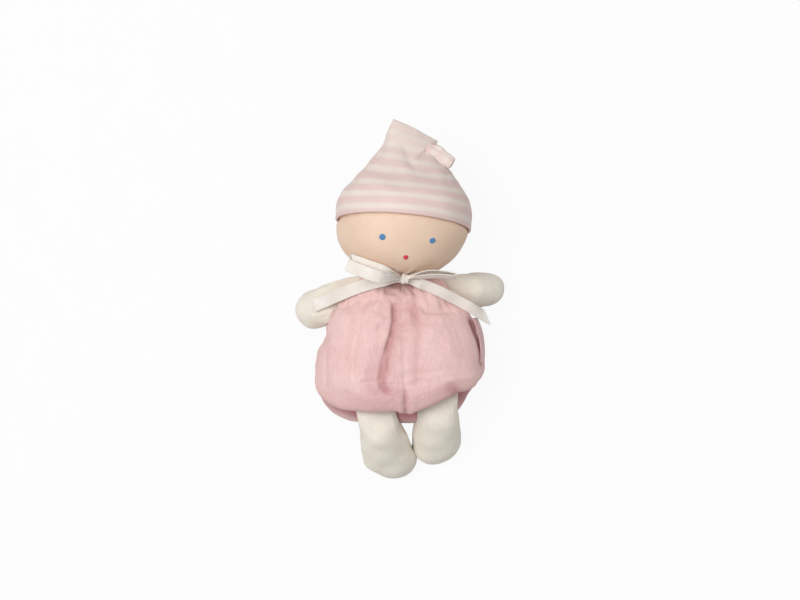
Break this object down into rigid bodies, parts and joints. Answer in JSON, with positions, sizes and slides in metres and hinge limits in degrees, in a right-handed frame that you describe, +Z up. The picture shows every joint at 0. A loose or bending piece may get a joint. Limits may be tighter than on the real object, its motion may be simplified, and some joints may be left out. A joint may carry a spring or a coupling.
{
  "type": "doll rattle",
  "caption": "Soft stuffed doll rattle lying on its back: big round head in a knotted striped cap, plump pleated body, stubby limbs, ribbon bow at the neck and a bead box inside that rattles.",
  "frame": {"origin": "on the surface that the doll lies on, under the body at its widest level", "axes": "+X towards the doll's left hand, +Y towards its crown, +Z up out of its front"},
  "size_m": [0.1277, 0.2211, 0.0843],
  "materials": {
    "pink_velour": "short velour pile",
    "cream_velour": "short velour pile",
    "skin_jersey": "fine brushed jersey",
    "striped_jersey": "fine jersey, pink and cream stripes",
    "satin_ribbon": "satin weave",
    "pink_tape": "woven tape, bare",
    "fibre_fill": "loose polyester fibre",
    "blue_thread": "embroidery thread",
    "red_thread": "embroidery thread",
    "box_plastic": "moulded",
    "bead_plastic": "smooth"
  },
  "bodies": {
    "torso": {"body_front_panel": "pink_velour", "body_back_panel": "pink_velour", "body_stuffing_front": "fibre_fill", "body_stuffing_back": "fibre_fill", "rattle_cup": "box_plastic", "rattle_lid": "box_plastic", "neck_ribbon": "satin_ribbon", "bow_knot": "satin_ribbon", "left_bow_loop": "satin_ribbon", "right_bow_loop": "satin_ribbon", "side_tag": "pink_tape"},
    "head": {"head_skin": "skin_jersey", "head_stuffing": "fibre_fill", "left_eye": "blue_thread", "right_eye": "blue_thread", "mouth": "red_thread", "cap": "striped_jersey"},
    "knot_tail": {"cap_knot_tail": "striped_jersey"},
    "left_arm": {"left_arm_skin": "cream_velour", "left_arm_stuffing": "fibre_fill"},
    "right_arm": {"right_arm_skin": "cream_velour", "right_arm_stuffing": "fibre_fill"},
    "left_leg": {"left_leg_skin": "cream_velour", "left_leg_stuffing": "fibre_fill"},
    "right_leg": {"right_leg_skin": "cream_velour", "right_leg_stuffing": "fibre_fill"},
    "left_tail": {"left_ribbon_tail": "satin_ribbon"},
    "right_tail": {"right_ribbon_tail": "satin_ribbon"},
    "bead_1": {"rattle_bead_1": "bead_plastic"},
    "bead_2": {"rattle_bead_2": "bead_plastic"},
    "bead_3": {"rattle_bead_3": "bead_plastic"},
    "bead_4": {"rattle_bead_4": "bead_plastic"},
    "bead_5": {"rattle_bead_5": "bead_plastic"},
    "bead_6": {"rattle_bead_6": "bead_plastic"}
  },
  "joints": [
    {"name": "head_turn", "type": "hinge", "parent": "torso", "child": "head", "pos_m": [0.0025, 0.093, 0.0422], "axis": [0.0785, 0.9945, 0.0695], "range_deg": [-45, 45]},
    {"name": "knot_tail_flop", "type": "hinge", "parent": "head", "child": "knot_tail", "pos_m": [0.01766, 0.13418, 0.05661], "axis": [-0.5373, -0.8413, -0.0588], "range_deg": [0, 40]},
    {"name": "left_shoulder", "type": "hinge", "parent": "torso", "child": "left_arm", "pos_m": [0.03184, 0.047, 0.028], "axis": [0.1219, -0.9925, 0], "range_deg": [0, 60]},
    {"name": "right_shoulder", "type": "hinge", "parent": "torso", "child": "right_arm", "pos_m": [-0.03705, 0.042, 0.028], "axis": [-0.2756, 0.9613, 0], "range_deg": [0, 60]},
    {"name": "left_hip", "type": "hinge", "parent": "torso", "child": "left_leg", "pos_m": [0.0234, -0.01778, 0.04], "axis": [-1, 0, 0], "range_deg": [0, 75]},
    {"name": "right_hip", "type": "hinge", "parent": "torso", "child": "right_leg", "pos_m": [-0.0145, -0.02684, 0.04], "axis": [-1, 0, 0], "range_deg": [0, 75]},
    {"name": "left_tail_lift", "type": "hinge", "parent": "torso", "child": "left_tail", "pos_m": [0.00627, 0.05385, 0.05554], "axis": [-0.4067, -0.9135, 0], "range_deg": [0, 36]},
    {"name": "right_tail_lift", "type": "hinge", "parent": "torso", "child": "right_tail", "pos_m": [-0.00085, 0.05435, 0.05554], "axis": [-0.2756, 0.9613, 0], "range_deg": [0, 36]},
    {"name": "bead_1_hop", "type": "slide", "parent": "torso", "child": "bead_1", "axis": [0, 0, 1], "range_m": [0, 0.009]},
    {"name": "bead_2_hop", "type": "slide", "parent": "torso", "child": "bead_2", "axis": [0, 0, 1], "range_m": [0, 0.009]},
    {"name": "bead_3_hop", "type": "slide", "parent": "torso", "child": "bead_3", "axis": [0, 0, 1], "range_m": [0, 0.009]},
    {"name": "bead_4_hop", "type": "slide", "parent": "torso", "child": "bead_4", "axis": [0, 0, 1], "range_m": [0, 0.009]},
    {"name": "bead_5_hop", "type": "slide", "parent": "torso", "child": "bead_5", "axis": [0, 0, 1], "range_m": [0, 0.009]},
    {"name": "bead_6_hop", "type": "slide", "parent": "torso", "child": "bead_6", "axis": [0, 0, 1], "range_m": [0, 0.009]}
  ],
  "couplings": [
    {"joint": "left_tail_lift", "follows": "left_shoulder", "ratio": 0.5},
    {"joint": "right_tail_lift", "follows": "right_shoulder", "ratio": 0.5}
  ]
}
